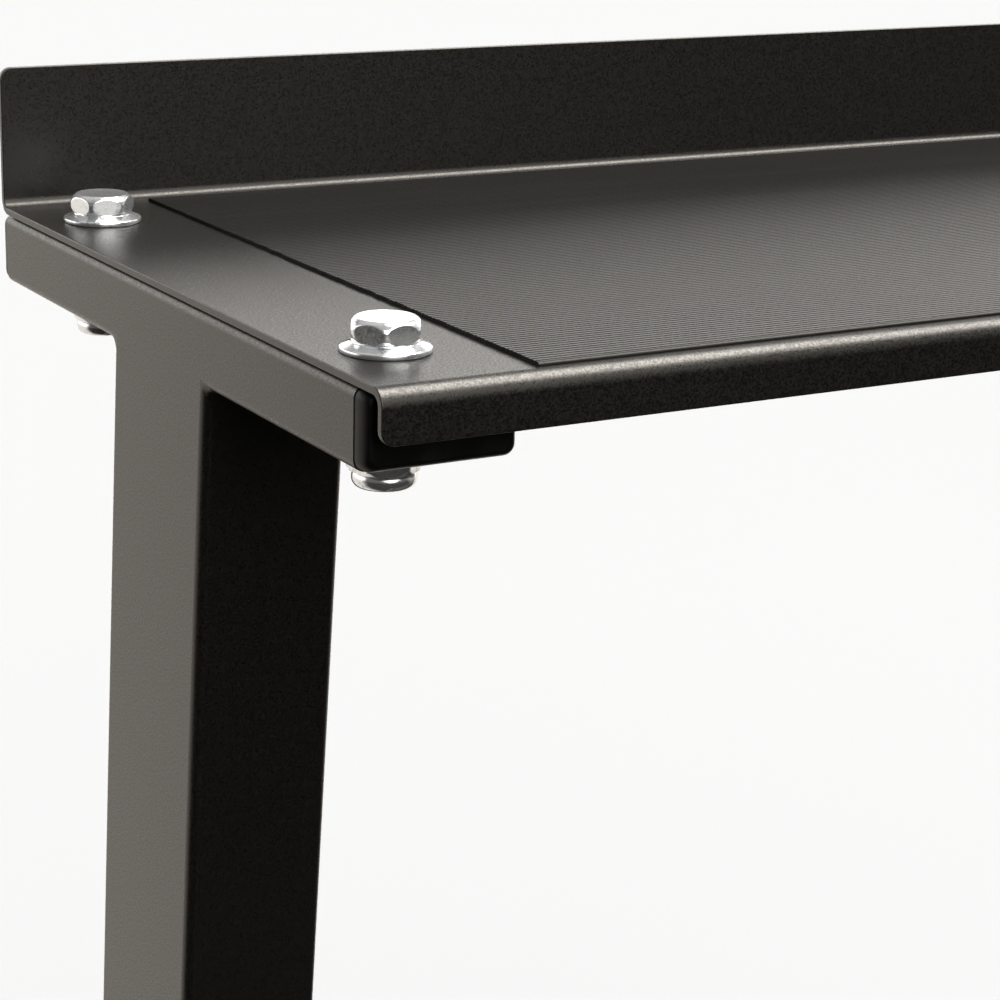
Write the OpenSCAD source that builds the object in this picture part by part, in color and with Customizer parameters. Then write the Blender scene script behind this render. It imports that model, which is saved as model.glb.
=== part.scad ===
// Steel computer desk with an upper shelf and a sliding keyboard tray.
// Two raked side frames carry pressed steel decks with ribbed rubber mats.
// Millimetres. +Z up, -Y towards the user, origin on the floor under the middle of the foot bars.

/* [Desk] */
// Width over the two side frames
desk_w = 1000; // [800:10:1400]
// Height of the worktop's top face above the floor
worktop_h = 740; // [690:5:800]
// Height of the upper shelf's top face above the floor
shelf_h = 1200; // [1050:10:1440]
// Depth of the worktop, from front roll to rear lip
worktop_d = 560; // [460:10:700]
// Depth of the upper shelf, from front roll to rear lip
shelf_d = 240; // [200:5:300]
// Depth of the keyboard tray, from front roll to rear lip
tray_d = 300; // [240:10:380]
// Drop from the worktop's top face to the tray's top face
tray_drop = 96; // [84:2:130]

/* [Side frames] */
// Width of every side frame tube, measured across the desk
tube_w = 40; // [36:1:50]
// Depth of the post tube
post_d = 60; // [46:2:80]
// Height of the arm under the shelf
arm_h = 20; // [16:1:40]
// Height of the bearer under the worktop
bearer_h = 40; // [30:1:50]
// Height of the foot bar
foot_h = 40; // [36:1:60]
// Wall thickness of the tubes
tube_wall = 2; // [1.5:0.1:3]
// Outer corner radius of the tubes
tube_r = 3; // [2.5:0.1:4]
// Forward lean of the posts from upright, in degrees
post_rake = 5.5; // [0:0.5:8]
// How much longer the foot bars are than the worktop is deep
foot_extra = 80; // [40:10:160]
// Distance from a foot bar's rear end to the middle of its post
post_from_rear = 125; // [100:5:180]

/* [Sheet metal] */
// Thickness of the pressed steel sheet
sheet_t = 2; // [1.5:0.1:3]
// Inside radius of every bend
bend_r = 2.5; // [1.5:0.1:4]
// Drop of the rolled front edge below the top face
roll_drop = 13; // [10:0.5:20]
// Height of the shelf's rear lip
shelf_lip = 40; // [20:1:60]
// Height of the worktop's rear lip
worktop_lip = 25; // [15:1:50]
// Height of the keyboard tray's rear lip
tray_lip = 20; // [12:1:26]
// Corner radius of lips, rolls and flanges
corner_r = 3.5; // [1:0.1:5]
// Distance from the front roll to the tube end behind it
tube_setback = 13.5; // [11:0.5:20]
// Distance from the rear lip to the tube end in front of it
tube_rear_gap = 3.5; // [3:0.5:10]
// Side gap between the worktop and each post
worktop_gap = 3; // [1:0.5:6]

/* [Mats] */
// Thickness of the rubber mats
mat_t = 1; // [0.6:0.1:3]
// Distance from a deck's side edge to its mat
mat_side = 42; // [36:1:60]
// Distance from a deck's front to its mat
mat_front = 4.8; // [4.6:0.1:10]
// Distance from a mat to the rear of its deck
mat_rear = 8.5; // [8:0.5:40]
// Gap between the tray mat and the side flanges
tray_mat_gap = 12; // [8:1:30]

/* [M10 fasteners] */
// Shank diameter of the deck bolts
m10_d = 10; // [8:1:12]
// Width across flats of the bolt heads
m10_af = 16; // [13:1:18]
// Diameter of the flange under the head
m10_flange_d = 21.8; // [17:0.1:26]
// Height of the bolt head with its flange
m10_head_h = 8; // [6:0.1:11]
// Height of the flanged lock nut
m10_nut_h = 10; // [8:0.1:13]
// Distance from the front and rear of a deck to its end bolts
bolt_inset = 33; // [26:1:50]
// Distance from the shelf's side edge to its bolts
shelf_bolt_x = 18; // [14:0.5:22]

/* [Beams] */
// Height of the two cross beams
beam_h = 60; // [40:2:80]
// Depth of the two cross beams
beam_d = 30; // [20:2:40]
// Distance from the worktop's top face down to the middle of the upper beam
upper_beam_drop = 105; // [95:1:160]
// Height of the middle of the lower beam above the floor
lower_beam_z = 125; // [110:5:300]
// Thickness of the beams' end plates
plate_t = 5; // [3:0.5:8]
// Shank diameter of the beam bolts
m8_d = 8; // [6:1:10]

/* [Slides] */
// Length of the slides
slide_len = 300; // [240:10:360]
// Thickness of a closed slide
slide_t = 12.7; // [12.7:0.1:14]
// Height of the outer rail
slide_h = 35; // [34:0.5:40]
// Thickness of the rails' steel
rail_t = 1.2; // [1:0.1:1.4]
// Travel of the keyboard tray
tray_travel = 260; // [180:10:270]
// Height of the tray's side flanges above its top face
tray_side_h = 44; // [42:1:60]
// Distance from the worktop's front to the closed tray's front
tray_inset = 8; // [4:1:40]

/* [Levelling feet] */
// Height of the foot bars above the floor with the feet screwed in
foot_gap = 14; // [12:1:24]
// Diameter of the levelling feet
pad_d = 38; // [30:1:40]

/* [Hidden] */

$fn = 48;
// Overshoot of a cutting shape past the face it cuts
cut = 1;

// Side frames: half width, inner face of the posts, then of the bearers
half_w = desk_w / 2;
frame_in = half_w - tube_w;
bearer_in = frame_in - tube_w;
cap_t = 5;
foot_len = worktop_d + foot_extra;
foot_top = foot_gap + foot_h;
arm_top = shelf_h - sheet_t;
arm_bottom = arm_top - arm_h;
bearer_top = worktop_h - sheet_t;
bearer_bottom = bearer_top - bearer_h;
post_foot_y = foot_len / 2 - post_from_rear;
post_top_y = post_y(arm_bottom);

// Decks: front face of each one, and the tubes that carry them
worktop_y = -foot_len / 2;
bearer_y = worktop_y + tube_setback;
bearer_len = worktop_d - tube_setback - tube_rear_gap;
arm_len = shelf_d - tube_setback - tube_rear_gap;
arm_y = post_top_y - arm_len / 2;
shelf_y = arm_y - tube_setback;
worktop_w = 2 * (frame_in - worktop_gap);
bend_out = bend_r + sheet_t;
hole_gap = 0.5;
thread_gap = 0.05;

// Deck bolts: the shelf's end inside their nuts, the worktop's stand out of them
m10_hole = m10_d + 2 * hole_gap;
shank_short = 2;
shank_out = 0.5;
hanger_t = 2.5;
hanger_bolt_inset = 45;
shelf_bolt_len = sheet_t + arm_h + m10_nut_h - shank_short;
worktop_bolt_x = frame_in - tube_w / 2;
worktop_bolt_len = sheet_t + bearer_h + hanger_t + m10_nut_h + shank_out;
hanger_bolt_y = worktop_y + bolt_inset + slide_len - hanger_bolt_inset;
shelf_bolt_ys = [shelf_y + bolt_inset, shelf_y + shelf_d - bolt_inset];
worktop_bolt_ys = [worktop_y + bolt_inset, hanger_bolt_y, worktop_y + worktop_d - bolt_inset];
// Turn of each bolt head and nut, as they end up when tightened
bolt_turns = [2, 48, 24, 39];

// Beams: how far the end plates reach past them, and the bolts' distance from them
upper_beam_z = worktop_h - upper_beam_drop;
plate_reach = 25;
plate_side = 5;
plate_bolt_gap = 12;
plate_h = beam_h + 2 * plate_reach;
plate_w = beam_d + 2 * plate_side;
plate_bolt = beam_h / 2 + plate_bolt_gap;
m8_hole = m8_d + 2 * hole_gap;
m8_nut_h = 6.5;
m8_nut_af = 13;

// Keyboard tray and slides, from the hanger's face inwards
tray_z = worktop_h - tray_drop;
tray_y = worktop_y + tray_inset;
rail_setback = 12;
rail_rise = 24;
rail_y = tray_y + rail_setback;
rail_z = tray_z + rail_rise;
hanger_face = bearer_in - hanger_t;
tray_half = hanger_face - slide_t;
hanger_spare = 10;
hanger_len = slide_len + hanger_spare;
bumper_t = 6;
stop_gap = 0.3;
inner_len = slide_len - bumper_t - stop_gap;
outer_ball_gap = 3.6;
inner_ball_gap = 3;
middle_h = slide_h - 2 * (rail_t + outer_ball_gap);
inner_h = middle_h - 2 * (rail_t + inner_ball_gap);
// Depths in the slide of the middle web, of the channel mouths and of the inner rail's mouth
middle_web = 3.6;
channel_depth = 11;
mouth_gap = 1.2;
inner_mouth = middle_web + rail_t + mouth_gap;
// Ball strips stay inside both rails over the whole travel
strip_end = 5;
strip_y = rail_y + tray_travel / 4 + strip_end;
strip_len = inner_len - tray_travel / 2 - 2 * strip_end;
outer_strip_w = 5;
inner_strip_w = 3.6;
strip_gap = 1;
inner_strip_gap = 0.4;

// Small screws and nuts of the slides
screw_d = 4;
screw_hole = screw_d + 0.4;
small_nut_h = 3;
small_nut_af = 7;
screw_out = 1;
screw_ys = [for (k = [0.1, 0.5, 0.9]) rail_y + k * inner_len];

// Levelling feet: the studs stand on the pads' bases, inside the bushes in the foot bars
pad_inset = 40;
pad_x = half_w - tube_w / 2;
pad_y = foot_len / 2 - pad_inset;
pad_gap = 0.5;
pad_h = foot_gap - pad_gap;
pad_base = 5;
bush_h = 12;
bush_wall = 4;
stud_gap = 6;
stud_top = foot_top - tube_wall - stud_gap;

// Middle of a post at height z
function post_y(z) = post_foot_y - (z - foot_top) * tan(post_rake);

// Draws its children on the left, or mirrored to the right
module on_side(right) {
    if (right) mirror([1, 0, 0]) children();
    else children();
}

// Rectangle centred on the origin with true round corners
module rounded_rect(w, h, r) {
    square([w - 2 * r, h], center = true);
    square([w, h - 2 * r], center = true);
    for (x = [-1, 1], y = [-1, 1])
        translate([x * (w / 2 - r), y * (h / 2 - r)]) circle(r);
}

// Section of a rectangular tube
module tube_section(w, h) {
    difference() {
        rounded_rect(w, h, tube_r);
        rounded_rect(w - 2 * tube_wall, h - 2 * tube_wall, tube_r - tube_wall + 0.2);
    }
}

// Tube along +Y, its start at the origin, centred in X and Z
module tube_y(w, h, length) {
    translate([0, length, 0]) rotate([90, 0, 0]) linear_extrude(length) tube_section(w, h);
}

// Tube along X, centred on the origin
module tube_x(d, h, length) {
    rotate([90, 0, 90]) linear_extrude(length, center = true) tube_section(d, h);
}

// Plastic end cap for a tube that ends at the origin, its head facing -Y
module end_cap(w, h) {
    fit = 0.2;
    edge = 0.9;
    crown = 1.4;
    plug = 12;
    wall = 2;
    head_w = w - 2 * fit;
    head_h = h - 2 * fit;
    in_w = w - 2 * tube_wall - 2 * fit;
    in_h = h - 2 * tube_wall - 2 * fit;
    rotate([90, 0, 0]) {
        linear_extrude(cap_t - crown) rounded_rect(head_w, head_h, tube_r);
        linear_extrude(cap_t) rounded_rect(head_w - 2 * edge, head_h - 2 * edge, tube_r - edge);
    }
    rotate([-90, 0, 0]) linear_extrude(plug) difference() {
        rounded_rect(in_w, in_h, tube_r - tube_wall + 2 * fit);
        square([in_w - 2 * wall, in_h - 2 * wall], center = true);
    }
}

// Pair of end caps for a tube from y0 to y1 at x, z
module cap_pair(x, z, y0, y1, w, h) {
    translate([x, y0, z]) end_cap(w, h);
    translate([x, y1, z]) rotate([0, 0, 180]) end_cap(w, h);
}

// Hexagon flange bolt along Z: bearing face at the origin, shank downwards
module flange_bolt(length, turn) {
    edge = 1.3;
    neck = 3;
    chamfer = 0.5;
    corner = 1;
    dish = 0.4;
    head_r = m10_af / 2;
    difference() {
        intersection() {
            rotate(turn) cylinder(h = m10_head_h, r = head_r / cos(30), $fn = 6);
            cylinder(h = m10_head_h, r1 = head_r + m10_head_h + chamfer, r2 = head_r - chamfer);
            cylinder(h = m10_head_h, r = head_r + corner);
        }
        translate([0, 0, m10_head_h - dish]) cylinder(h = cut, r1 = head_r - 3, r2 = head_r - 1.5);
    }
    cylinder(h = edge, d = m10_flange_d);
    translate([0, 0, edge]) cylinder(h = neck - edge, d1 = m10_flange_d, d2 = m10_af);
    translate([0, 0, -length]) cylinder(h = length, d = m10_d);
}

// Hexagon flange lock nut along Z: bearing face at the origin, collar downwards
module flange_lock_nut(turn) {
    edge = 1.3;
    neck = 2.8;
    corner = 0.9;
    collar = 3.4;
    collar_d = m10_af - 0.6;
    rim = 1;
    insert_d = m10_d + 1.2;
    flange_d = m10_flange_d - 1;
    mirror([0, 0, 1]) difference() {
        union() {
            cylinder(h = edge, d = flange_d);
            translate([0, 0, edge]) cylinder(h = neck - edge, d1 = flange_d, d2 = m10_af);
            intersection() {
                rotate(turn) cylinder(h = m10_nut_h - collar, d = m10_af / cos(30), $fn = 6);
                cylinder(h = m10_nut_h, r = m10_af / 2 + corner);
            }
            cylinder(h = m10_nut_h - rim, d = collar_d);
            translate([0, 0, m10_nut_h - rim]) cylinder(h = rim, d1 = collar_d, d2 = collar_d - 2 * rim);
        }
        translate([0, 0, -cut]) cylinder(h = m10_nut_h + 2 * cut, d = m10_d + 2 * thread_gap);
        translate([0, 0, m10_nut_h - rim]) cylinder(h = 2 * cut, d = insert_d);
    }
}

// Small flange bolt along +X from the origin, its head on the -X side
module beam_bolt(length) {
    flange_d = 17;
    flange_t = 1.2;
    head_h = 7;
    rotate([0, 90, 0]) cylinder(h = length, d = m8_d);
    rotate([0, -90, 0]) {
        cylinder(h = flange_t, d = flange_d);
        cylinder(h = head_h, d = m8_nut_af / cos(30), $fn = 6);
    }
}

// Low pan head screw along -X from the origin, its head on the +X side
module rail_screw(length) {
    head_d = 8;
    top_d = 6;
    head_h = 1.8;
    rotate([0, -90, 0]) cylinder(h = length, d = screw_d);
    rotate([0, 90, 0]) cylinder(h = head_h, d1 = head_d, d2 = top_d);
}

// Plain M4 nut against a face at the origin, standing towards -X
module small_nut() {
    rotate([0, -90, 0]) difference() {
        cylinder(h = small_nut_h, d = small_nut_af / cos(30), $fn = 6);
        translate([0, 0, -cut]) cylinder(h = small_nut_h + 2 * cut, d = screw_d + 2 * thread_gap);
    }
}

// Quarter of a bend: a ring sector in the +x +y quadrant
module bend_section() {
    intersection() {
        difference() {
            circle(bend_out);
            circle(bend_r);
        }
        square(bend_out);
    }
}

// Deck section from front roll to rear lip: x is the depth, y the height
module deck_section(d) {
    translate([bend_out, -sheet_t]) square([d - 2 * bend_out, sheet_t]);
    translate([bend_out, -bend_out]) mirror([1, 0]) bend_section();
    translate([d - bend_out, bend_r]) mirror([0, 1]) bend_section();
}

// Upright sheet in the XZ plane, rounded at the corners of its free edge, thickness along +Y
module free_flange(w, h) {
    translate([0, sheet_t, 0]) rotate([90, 0, 0]) linear_extrude(sheet_t) {
        translate([-w / 2, 0]) square([w, h - corner_r]);
        translate([-w / 2 + corner_r, 0]) square([w - 2 * corner_r, h]);
        for (x = [-1, 1])
            translate([x * (w / 2 - corner_r), h - corner_r]) circle(corner_r);
    }
}

// Pressed deck: front roll at y = 0, top face at z = 0, lip at the rear
module pressed_deck(w, d, lip_w, lip_h) {
    translate([-w / 2, 0, 0]) rotate([90, 0, 90]) linear_extrude(w) intersection() {
        deck_section(d);
        translate([0, -bend_out]) square([d - bend_out, 2 * bend_out]);
    }
    translate([-lip_w / 2, 0, 0]) rotate([90, 0, 90]) linear_extrude(lip_w) intersection() {
        deck_section(d);
        translate([d - bend_out, -sheet_t]) square([bend_out, bend_out]);
    }
    translate([0, 0, -bend_out]) mirror([0, 0, 1]) free_flange(w, roll_drop - bend_out);
    translate([0, d - sheet_t, bend_r]) free_flange(lip_w, lip_h - bend_r);
}

// Rubber mat on a deck
module mat(w, d) {
    corner = 1;
    linear_extrude(mat_t) translate([0, d / 2]) rounded_rect(w, d, corner);
}

// Vertical holes through a deck or tube at plus and minus x, at each y
module bolt_holes(x, ys, d, z, h) {
    for (side = [-1, 1], y = ys)
        translate([side * x, y, z]) cylinder(h = h, d = d);
}

module post(right) {
    length = (arm_bottom - foot_top) / cos(post_rake) + 2 * post_d;
    middle_z = (arm_bottom + foot_top) / 2;
    color("dimgray") on_side(right) difference() {
        intersection() {
            translate([-pad_x, post_y(middle_z), middle_z]) rotate([post_rake, 0, 0])
                linear_extrude(length, center = true) tube_section(tube_w, post_d);
            translate([-half_w - cut, -desk_w, foot_top])
                cube([tube_w + 2 * cut, 2 * desk_w, arm_bottom - foot_top]);
        }
        for (z = [upper_beam_z, lower_beam_z], k = [-1, 1])
            translate([-frame_in - tube_wall - cut, post_y(z), z + k * plate_bolt])
                rotate([0, 90, 0]) cylinder(h = tube_wall + 2 * cut, d = m8_hole);
    }
}

module shelf_arm(right) {
    color("dimgray") on_side(right) difference() {
        translate([-pad_x, arm_y, arm_bottom + arm_h / 2]) tube_y(tube_w, arm_h, arm_len);
        bolt_holes(half_w - shelf_bolt_x, shelf_bolt_ys, m10_hole, arm_bottom - cut, arm_h + 2 * cut);
    }
}

module worktop_bearer(right) {
    color("dimgray") on_side(right) difference() {
        translate([-worktop_bolt_x, bearer_y, bearer_bottom + bearer_h / 2])
            tube_y(tube_w, bearer_h, bearer_len);
        bolt_holes(worktop_bolt_x, worktop_bolt_ys, m10_hole, bearer_bottom - cut, bearer_h + 2 * cut);
    }
}

module foot_bar(right) {
    color("dimgray") on_side(right) difference() {
        translate([-pad_x, -foot_len / 2, foot_gap + foot_h / 2]) tube_y(tube_w, foot_h, foot_len);
        bolt_holes(pad_x, [-pad_y, pad_y], m10_hole, foot_gap - cut, tube_wall + 2 * cut);
    }
}

module shelf_arm_caps() {
    color("black") for (x = [-pad_x, pad_x])
        cap_pair(x, arm_bottom + arm_h / 2, arm_y, arm_y + arm_len, tube_w, arm_h);
}

module bearer_caps() {
    color("black") for (x = [-worktop_bolt_x, worktop_bolt_x])
        cap_pair(x, bearer_bottom + bearer_h / 2, bearer_y, bearer_y + bearer_len, tube_w, bearer_h);
}

module foot_bar_caps() {
    color("black") for (x = [-pad_x, pad_x])
        cap_pair(x, foot_gap + foot_h / 2, -foot_len / 2, foot_len / 2, tube_w, foot_h);
}

module shelf_deck() {
    color("dimgray") difference() {
        translate([0, shelf_y, shelf_h]) pressed_deck(desk_w, shelf_d, desk_w, shelf_lip);
        bolt_holes(half_w - shelf_bolt_x, shelf_bolt_ys, m10_hole, arm_top - cut, sheet_t + 2 * cut);
    }
}

module shelf_mat() {
    color("darkslategray") translate([0, shelf_y + mat_front, shelf_h])
        mat(desk_w - 2 * mat_side, shelf_d - mat_front - mat_rear);
}

module shelf_bolts() {
    color("silver") for (side = [0, 1], k = [0, 1])
        translate([(2 * side - 1) * (half_w - shelf_bolt_x), shelf_bolt_ys[k], shelf_h])
            flange_bolt(shelf_bolt_len, bolt_turns[2 * side + k]);
}

module shelf_lock_nuts() {
    color("silver") for (side = [0, 1], k = [0, 1])
        translate([(2 * side - 1) * (half_w - shelf_bolt_x), shelf_bolt_ys[k], arm_bottom])
            flange_lock_nut(bolt_turns[3 - 2 * side - k]);
}

module worktop_deck() {
    color("dimgray") difference() {
        translate([0, worktop_y, worktop_h]) pressed_deck(worktop_w, worktop_d, worktop_w, worktop_lip);
        bolt_holes(worktop_bolt_x, worktop_bolt_ys, m10_hole, bearer_top - cut, sheet_t + 2 * cut);
    }
}

module worktop_mat() {
    color("darkslategray") translate([0, worktop_y + mat_front, worktop_h])
        mat(worktop_w - 2 * mat_side, worktop_d - mat_front - mat_rear);
}

module worktop_bolts() {
    color("silver") for (side = [0, 1], k = [0, 1, 2])
        translate([(2 * side - 1) * worktop_bolt_x, worktop_bolt_ys[k], worktop_h])
            flange_bolt(worktop_bolt_len, bolt_turns[(k + side) % 4]);
}

// The two forward nuts on each side also clamp the tray hanger
module worktop_lock_nuts() {
    color("silver") for (side = [0, 1], k = [0, 1, 2])
        translate([(2 * side - 1) * worktop_bolt_x, worktop_bolt_ys[k],
            bearer_bottom - (k < 2 ? hanger_t : 0)]) flange_lock_nut(bolt_turns[(k + side + 1) % 4]);
}

module beam(z) {
    color("dimgray") translate([0, post_y(z), z]) tube_x(beam_d, beam_h, 2 * (frame_in - plate_t));
}

module beam_end_plates() {
    corner = 5;
    color("dimgray") for (z = [upper_beam_z, lower_beam_z], right = [false, true])
        on_side(right) translate([-frame_in, post_y(z), z]) rotate([90, 0, 90])
            linear_extrude(plate_t) difference() {
                rounded_rect(plate_w, plate_h, corner);
                for (k = [-1, 1]) translate([0, k * plate_bolt]) circle(d = m8_hole);
            }
}

module beam_bolts() {
    thread_out = 2;
    length = plate_t + tube_wall + m8_nut_h + thread_out;
    color("silver") for (z = [upper_beam_z, lower_beam_z], right = [false, true], k = [-1, 1])
        on_side(right) translate([-frame_in + plate_t, post_y(z), z + k * plate_bolt])
            mirror([1, 0, 0]) beam_bolt(length);
}

module beam_weld_nuts() {
    color("gray") for (z = [upper_beam_z, lower_beam_z], right = [false, true], k = [-1, 1])
        on_side(right) translate([-frame_in - tube_wall, post_y(z), z + k * plate_bolt])
            rotate([0, -90, 0]) difference() {
                cylinder(h = m8_nut_h, d = m8_nut_af / cos(30), $fn = 6);
                translate([0, 0, -cut]) cylinder(h = m8_nut_h + 2 * cut, d = m8_d + 2 * thread_gap);
            }
}

// Angle bracket under a bearer: bolted flange on top, slide plate hanging from its inner edge
module tray_hanger(right) {
    margin = 2;
    flange_w = tube_w - margin;
    flange_bottom = bearer_bottom - hanger_t;
    plate_bottom = rail_z - slide_h / 2 - margin;
    start = min(rail_y, worktop_bolt_ys[0] - m10_flange_d / 2 - margin / 2);
    color("dimgray") on_side(right) difference() {
        union() {
            translate([-bearer_in - flange_w, start, flange_bottom])
                cube([flange_w - bend_r, hanger_len, hanger_t]);
            translate([-bearer_in - bend_r, start + hanger_len, flange_bottom - bend_r])
                rotate([90, 0, 0]) linear_extrude(hanger_len) intersection() {
                    difference() {
                        circle(bend_r + hanger_t);
                        circle(bend_r);
                    }
                    square(bend_r + hanger_t);
                }
            translate([-bearer_in, start, plate_bottom])
                cube([hanger_t, hanger_len, flange_bottom - bend_r - plate_bottom]);
        }
        bolt_holes(worktop_bolt_x, worktop_bolt_ys, m10_hole, flange_bottom - cut, hanger_t + 2 * cut);
        for (y = screw_ys) translate([-bearer_in - cut, y, rail_z])
            rotate([0, 90, 0]) cylinder(h = hanger_t + 2 * cut, d = screw_hole);
    }
}

// Channel along +Y: back at x = 0, mouth towards +X, centred in Z, screw holes where ys says
module channel(height, depth, length, ys) {
    difference() {
        translate([0, 0, -height / 2]) cube([depth, length, height]);
        translate([rail_t, -cut, -height / 2 + rail_t])
            cube([depth, length + 2 * cut, height - 2 * rail_t]);
        for (y = ys) translate([-cut, y, 0])
            rotate([0, 90, 0]) cylinder(h = rail_t + 2 * cut, d = screw_hole);
    }
}

module outer_rail(right) {
    color("silver") on_side(right) translate([-hanger_face, rail_y, rail_z])
        channel(slide_h, channel_depth, slide_len, [for (y = screw_ys) y - rail_y]);
}

module middle_rail(right) {
    color("silver") on_side(right) translate([-hanger_face + middle_web, rail_y, rail_z])
        channel(middle_h, channel_depth - middle_web, inner_len, []);
}

module inner_rail(right) {
    color("silver") on_side(right) translate([-tray_half, rail_y, rail_z]) mirror([1, 0, 0])
        channel(inner_h, slide_t - inner_mouth, inner_len, [for (y = screw_ys) y - rail_y]);
}

module rail_screws() {
    color("gray") for (right = [false, true], y = screw_ys) on_side(right)
        translate([-hanger_face + rail_t, y, rail_z]) rail_screw(rail_t + hanger_t + small_nut_h);
}

module rail_nuts() {
    color("gray") for (right = [false, true], y = screw_ys) on_side(right)
        translate([-bearer_in, y, rail_z]) small_nut();
}

module slide_bumpers() {
    color("black") for (right = [false, true]) on_side(right)
        translate([-hanger_face + rail_t, rail_y + inner_len + stop_gap, rail_z - slide_h / 2 + rail_t])
            cube([channel_depth - rail_t, bumper_t, slide_h - 2 * rail_t]);
}

// Balls in their retainers, above and below the channel between two rails
module ball_strips(mid_z, gap, x, strip_w) {
    ball_r = gap / 2 - thread_gap;
    balls = 9;
    color("goldenrod") for (right = [false, true], k = [-1, 1]) on_side(right)
        translate([-hanger_face + x, strip_y, rail_z + k * mid_z]) {
            translate([-strip_w / 2, 0, -gap / 4]) cube([strip_w, strip_len, gap / 2]);
            for (i = [0.5 : balls - 0.5])
                translate([0, i * strip_len / balls, 0]) sphere(ball_r, $fn = 24);
        }
}

module outer_ball_strips() {
    x = middle_web + strip_gap + outer_strip_w / 2;
    ball_strips(middle_h / 2 + outer_ball_gap / 2, outer_ball_gap, x, outer_strip_w);
}

module inner_ball_strips() {
    x = inner_mouth + inner_strip_gap + inner_strip_w / 2;
    ball_strips(inner_h / 2 + inner_ball_gap / 2, inner_ball_gap, x, inner_strip_w);
}

// Side flange of the tray along +Y: bend and upright plate, its outer face at x = 0
module tray_side(length) {
    h = tray_side_h - bend_r;
    translate([bend_out, length, bend_r]) rotate([90, 0, 0]) linear_extrude(length)
        mirror([1, 0]) mirror([0, 1]) bend_section();
    translate([0, length / 2, bend_r]) rotate([0, 0, 90]) mirror([0, 1, 0]) free_flange(length, h);
}

// Pressed tray: front roll over the full width, sides and rear turned up
module tray_deck() {
    front_strip = 10;
    relief = 2;
    side_gap = 1;
    notch_w = bend_out + side_gap;
    rear_strip = bend_out + 5;
    side_len = tray_d - front_strip - relief - rear_strip;
    color("dimgray") translate([0, tray_y, tray_z]) difference() {
        union() {
            pressed_deck(2 * tray_half, tray_d, 2 * (tray_half - notch_w), tray_lip);
            for (right = [false, true]) on_side(right)
                translate([-tray_half, front_strip + relief, 0]) tray_side(side_len);
        }
        for (right = [false, true]) on_side(right) {
            translate([-tray_half - cut, front_strip, -sheet_t - cut])
                cube([notch_w + cut, relief, sheet_t + 2 * cut]);
            translate([-tray_half - cut, front_strip + relief + side_len, -sheet_t - cut])
                cube([notch_w + cut, rear_strip + cut, sheet_t + 2 * cut]);
            translate([-tray_half, front_strip, 0]) rotate([-90, 0, 0])
                linear_extrude(side_len + relief + cut) difference() {
                    translate([-cut, 0]) square([bend_out + cut, sheet_t + cut]);
                    translate([bend_out, -bend_r]) circle(bend_out);
                }
            for (y = screw_ys) translate([-tray_half - cut, y - tray_y, rail_z - tray_z])
                rotate([0, 90, 0]) cylinder(h = sheet_t + 2 * cut, d = screw_hole);
        }
    }
}

module tray_mat() {
    color("darkslategray") translate([0, tray_y + mat_front, tray_z])
        mat(2 * (tray_half - sheet_t - tray_mat_gap), tray_d - mat_front - mat_rear);
}

module tray_screws() {
    color("gray") for (right = [false, true], y = screw_ys) on_side(right)
        translate([-tray_half - rail_t, y, rail_z]) mirror([1, 0, 0])
            rail_screw(rail_t + sheet_t + small_nut_h + screw_out);
}

module tray_nuts() {
    color("gray") for (right = [false, true], y = screw_ys) on_side(right)
        translate([-tray_half + sheet_t, y, rail_z]) mirror([1, 0, 0]) small_nut();
}

// Threaded bushes welded inside the foot bars
module foot_bushes() {
    color("gray") for (x = [-pad_x, pad_x], y = [-pad_y, pad_y])
        translate([x, y, foot_gap + tube_wall]) difference() {
            cylinder(h = bush_h, d = m10_d + 2 * bush_wall);
            translate([0, 0, -cut]) cylinder(h = bush_h + 2 * cut, d = m10_d + 2 * thread_gap);
        }
}

// Plastic pad with a blind socket for the stud
module foot_pad(x, y) {
    bevel = 1;
    cone = 4;
    hub_d = m10_d + 10;
    color("black") translate([x, y, 0]) difference() {
        union() {
            cylinder(h = bevel, d1 = pad_d - 2 * bevel, d2 = pad_d);
            translate([0, 0, bevel]) cylinder(h = pad_base - bevel, d = pad_d);
            translate([0, 0, pad_base]) cylinder(h = cone, d1 = pad_d, d2 = hub_d + 2 * bevel);
            cylinder(h = pad_h, d = hub_d);
        }
        translate([0, 0, pad_base]) cylinder(h = pad_h, d = m10_d + 2 * thread_gap);
    }
}

module foot_stud(x, y) {
    tip = 1;
    length = stud_top - pad_base;
    color("silver") translate([x, y, pad_base]) {
        cylinder(h = length - tip, d = m10_d);
        translate([0, 0, length - tip]) cylinder(h = tip, d1 = m10_d, d2 = m10_d - 2 * tip);
    }
}

post(false);  // left_post
post(true);  // right_post
shelf_arm(false);  // left_shelf_arm
shelf_arm(true);  // right_shelf_arm
worktop_bearer(false);  // left_worktop_bearer
worktop_bearer(true);  // right_worktop_bearer
foot_bar(false);  // left_foot_bar
foot_bar(true);  // right_foot_bar
shelf_arm_caps();
bearer_caps();
foot_bar_caps();
shelf_deck();
shelf_mat();
shelf_bolts();
shelf_lock_nuts();
worktop_deck();
worktop_mat();
worktop_bolts();
worktop_lock_nuts();
beam(upper_beam_z);  // upper_beam
beam(lower_beam_z);  // lower_beam
beam_end_plates();
beam_bolts();
beam_weld_nuts();
tray_hanger(false);  // left_tray_hanger
tray_hanger(true);  // right_tray_hanger
outer_rail(false);  // left_outer_rail
outer_rail(true);  // right_outer_rail
rail_screws();
rail_nuts();
slide_bumpers();
foot_bushes();
middle_rail(false);  // left_middle_rail
middle_rail(true);  // right_middle_rail
outer_ball_strips();
inner_ball_strips();
inner_rail(false);  // left_inner_rail
inner_rail(true);  // right_inner_rail
tray_deck();
tray_mat();
tray_screws();
tray_nuts();
foot_pad(-pad_x, -pad_y);  // front_left_foot_pad
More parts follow.
